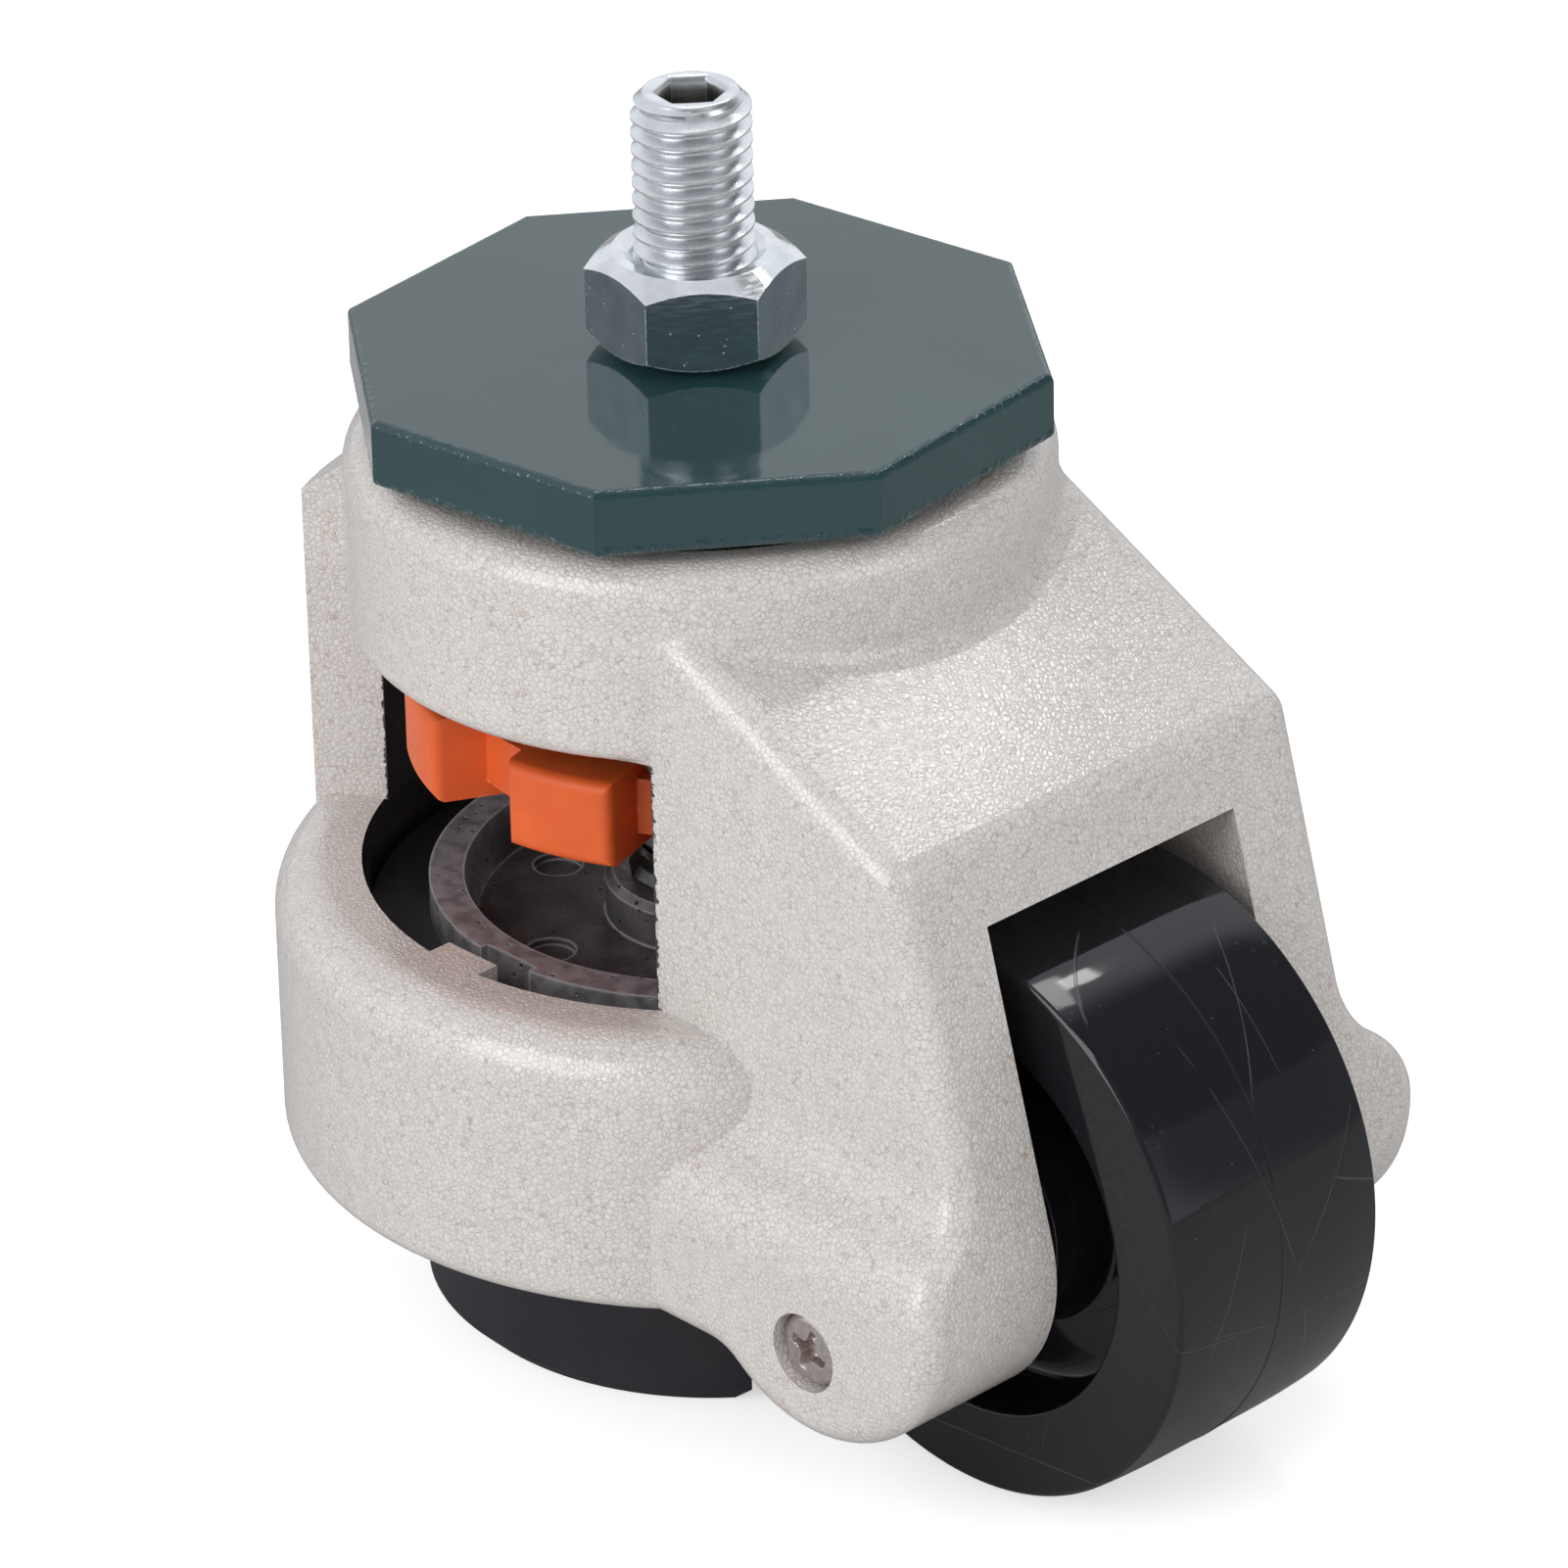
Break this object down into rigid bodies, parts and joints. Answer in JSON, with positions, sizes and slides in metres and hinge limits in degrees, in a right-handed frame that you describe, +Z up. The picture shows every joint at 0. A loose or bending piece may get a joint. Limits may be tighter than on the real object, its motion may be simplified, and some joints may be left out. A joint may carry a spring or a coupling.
{
  "type": "levelling castor",
  "caption": "Threaded-stem levelling castor: a swivelling wheel in a cast housing beside a rubber foot that a hand dial screws down to take the load.",
  "frame": {"origin": "on the stem's axis, in the plane of the lock nut's top face, which bears on the machine's leg", "axes": "+Z up along the stem; +X from the stem towards the wheel; +Y along the wheel's axle"},
  "size_m": [0.1237, 0.0886, 0.1311],
  "materials": {
    "zinc_plated_steel": "bright zinc plate",
    "green_paint": "dark green gloss paint",
    "cream_powder_coat": "cream crackle powder coat, gloss",
    "bearing_steel": "ground",
    "machined_steel": "turned, oiled",
    "screw_steel": "satin",
    "wheel_nylon": "gloss black",
    "dial_nylon": "satin orange",
    "foot_casting": "dark, as cast",
    "pad_rubber": "matt black"
  },
  "bodies": {
    "top_mount": {"stem_stud": "zinc_plated_steel", "lock_nut": "zinc_plated_steel", "top_plate": "green_paint", "kingpin": "machined_steel", "upper_race": "bearing_steel"},
    "housing_group": {"housing": "cream_powder_coat", "cup_race": "bearing_steel", "upper_balls": "bearing_steel", "lower_race": "bearing_steel", "lower_balls": "bearing_steel", "axle": "machined_steel", "keeper_screws": "screw_steel", "bearing_inner_rings": "bearing_steel", "hub_spacer": "machined_steel", "side_spacers": "machined_steel", "dial_plate": "machined_steel", "plate_screws": "screw_steel"},
    "wheel_group": {"wheel": "wheel_nylon", "bearing_outer_rings": "bearing_steel", "bearing_shields": "bearing_steel", "bearing_balls": "bearing_steel"},
    "dial_group": {"dial": "dial_nylon", "dial_nut": "machined_steel", "thrust_washer": "machined_steel", "dial_circlip": "bearing_steel"},
    "foot_group": {"foot_screw": "machined_steel", "foot_disc": "foot_casting", "foot_washer": "machined_steel", "foot_nut": "machined_steel", "rubber_pad": "pad_rubber"}
  },
  "joints": [
    {"name": "swivel", "type": "hinge", "parent": "top_mount", "child": "housing_group", "pos_m": [0, 0, -0.0216], "axis": [0, 0, 1], "continuous": true},
    {"name": "wheel_spin", "type": "hinge", "parent": "housing_group", "child": "wheel_group", "pos_m": [0.0487, 0.0002, -0.0836], "axis": [0, 1, 0], "continuous": true},
    {"name": "dial_turn", "type": "hinge", "parent": "housing_group", "child": "dial_group", "pos_m": [0, 0, -0.0488], "axis": [0, 0, 1], "range_deg": [-1081, 1081]},
    {"name": "foot_slide", "type": "slide", "parent": "housing_group", "child": "foot_group", "axis": [0, 0, 1], "range_m": [-0.006, 0.006]}
  ],
  "couplings": [
    {"joint": "dial_turn", "follows": "foot_slide", "rad_per_m": -3141.6}
  ]
}
